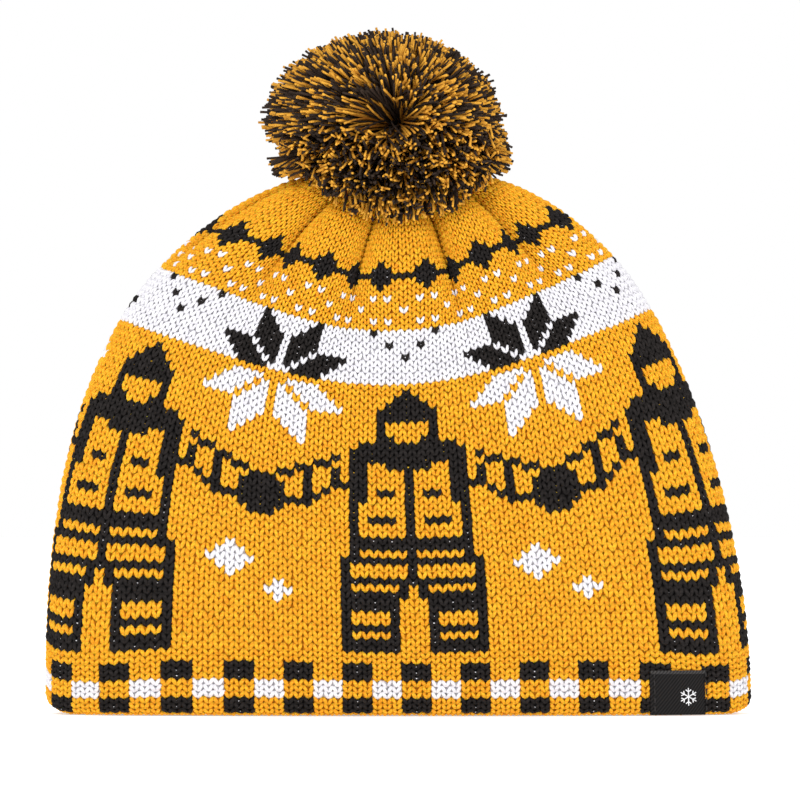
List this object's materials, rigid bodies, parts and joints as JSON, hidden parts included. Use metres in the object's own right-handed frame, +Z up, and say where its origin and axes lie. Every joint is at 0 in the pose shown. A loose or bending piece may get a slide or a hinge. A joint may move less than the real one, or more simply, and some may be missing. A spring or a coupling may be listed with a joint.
{
  "type": "pom pom beanie",
  "caption": "Knitted hat with a patterned body, gathered crown, turned hem, inner ear band and a two-coloured yarn pom on a short tie.",
  "frame": {"origin": "centre of the footprint, at the underside of the hem that the hat stands on", "axes": "+Z up through the crown and the pom, front of the hat towards -Y, +X to the wearer's left seen from the front"},
  "size_m": [0.25, 0.087, 0.244],
  "materials": {
    "yellow_yarn": "golden yellow acrylic knitting yarn",
    "black_yarn": "near-black acrylic knitting yarn",
    "white_yarn": "off-white acrylic knitting yarn",
    "dark_fleece": "soft brushed fleece",
    "black_label": "fine woven twill",
    "white_label": "satin ribbon",
    "yellow_thread": "sewing thread",
    "black_thread": "sewing thread",
    "white_thread": "sewing thread"
  },
  "bodies": {
    "hat": {"knit_shell": "yellow_yarn", "crown_gather_thread": "yellow_thread", "back_seam": "yellow_yarn", "hem_thread": "yellow_thread", "fleece_ear_band": "dark_fleece", "band_lower_thread": "black_thread", "band_upper_thread": "black_thread", "woven_label": "black_label", "label_stitches": "black_thread", "care_label_stitches": "white_thread"},
    "tie": {"tie_neck": "black_yarn", "tie_knot": "black_yarn"},
    "pom": {"pom_core_tie": "black_yarn", "pom_binding": "black_yarn", "pom_yellow_yarn": "yellow_yarn", "pom_black_yarn": "black_yarn"},
    "care_flap": {"care_label": "white_label"}
  },
  "joints": [
    {"name": "tie_lean", "type": "hinge", "parent": "hat", "child": "tie", "pos_m": [0, 0, 0.1925], "axis": [1, 0, 0], "range_deg": [-10, 10], "stiffness_Nm_per_rad": 0.06},
    {"name": "pom_lean", "type": "hinge", "parent": "tie", "child": "pom", "pos_m": [0, 0, 0.1983], "axis": [0, 1, 0], "range_deg": [-12, 12], "stiffness_Nm_per_rad": 0.06},
    {"name": "care_label_flap", "type": "hinge", "parent": "hat", "child": "care_flap", "pos_m": [0, 0.0219, 0.055], "axis": [-1, 0, 0], "range_deg": [0, 165]}
  ]
}
